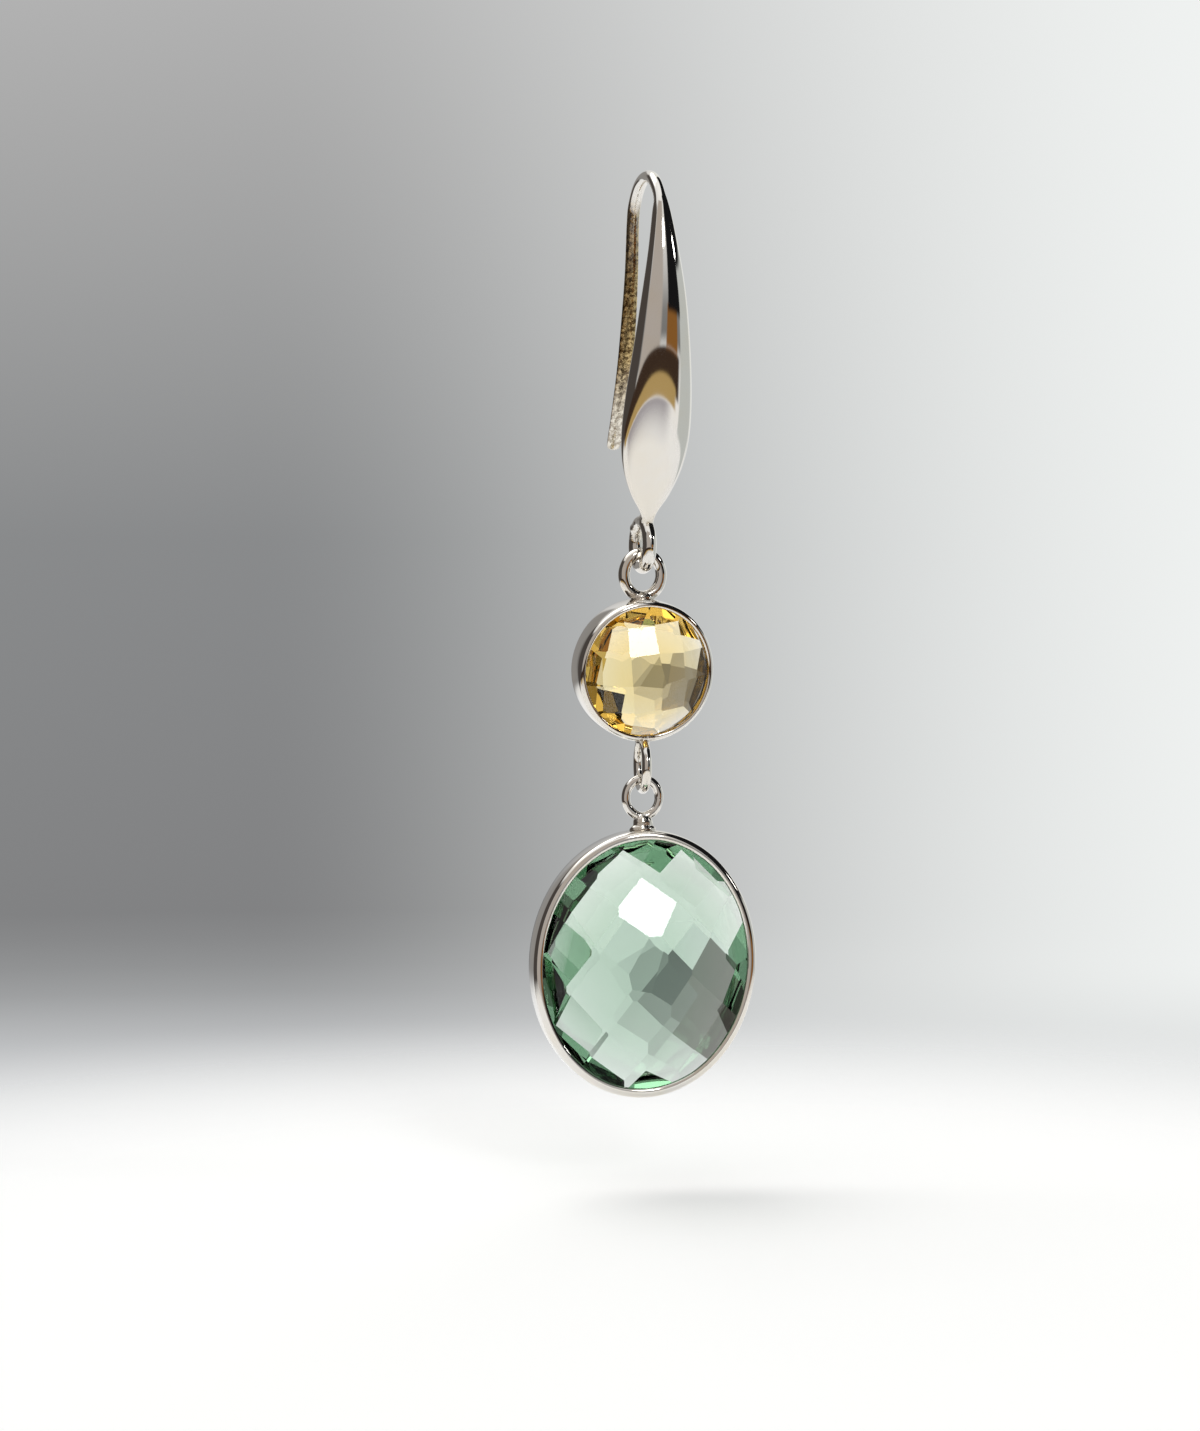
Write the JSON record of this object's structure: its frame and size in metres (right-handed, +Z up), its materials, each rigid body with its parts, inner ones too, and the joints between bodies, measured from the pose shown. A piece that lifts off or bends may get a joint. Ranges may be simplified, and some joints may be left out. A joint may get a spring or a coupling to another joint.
{
  "type": "drop earring",
  "caption": "Drop earring on an open ear hook with a leaf-shaped front, a small round faceted stone and a larger oval faceted stone hanging below it in plain bezels.",
  "frame": {"origin": "the inside of the hook's bend, at its top, where the earring hangs in the ear", "axes": "+Z up, -Y towards the viewer of the front, +X to that viewer's right"},
  "size_m": [0.0146, 0.0117, 0.0591],
  "materials": {
    "polished_silver": "polished white metal with a slight warm tint",
    "yellow_stone": "polished facets, clear golden yellow",
    "green_stone": "polished facets, clear pale grey-green"
  },
  "bodies": {
    "hook": {"ear_hook": "polished_silver"},
    "round_drop": {"round_setting": "polished_silver", "round_stone": "yellow_stone"},
    "oval_drop": {"oval_setting": "polished_silver", "oval_stone": "green_stone"}
  },
  "joints": [
    {"name": "round_swing", "type": "hinge", "parent": "hook", "child": "round_drop", "pos_m": [0, 0.0009, -0.0243], "axis": [0, 1, 0], "range_deg": [-60, 60]},
    {"name": "oval_swing", "type": "hinge", "parent": "round_drop", "child": "oval_drop", "pos_m": [0, 0.0009, -0.03854], "axis": [0.1219, 0.9925, 0], "range_deg": [-60, 60]}
  ]
}
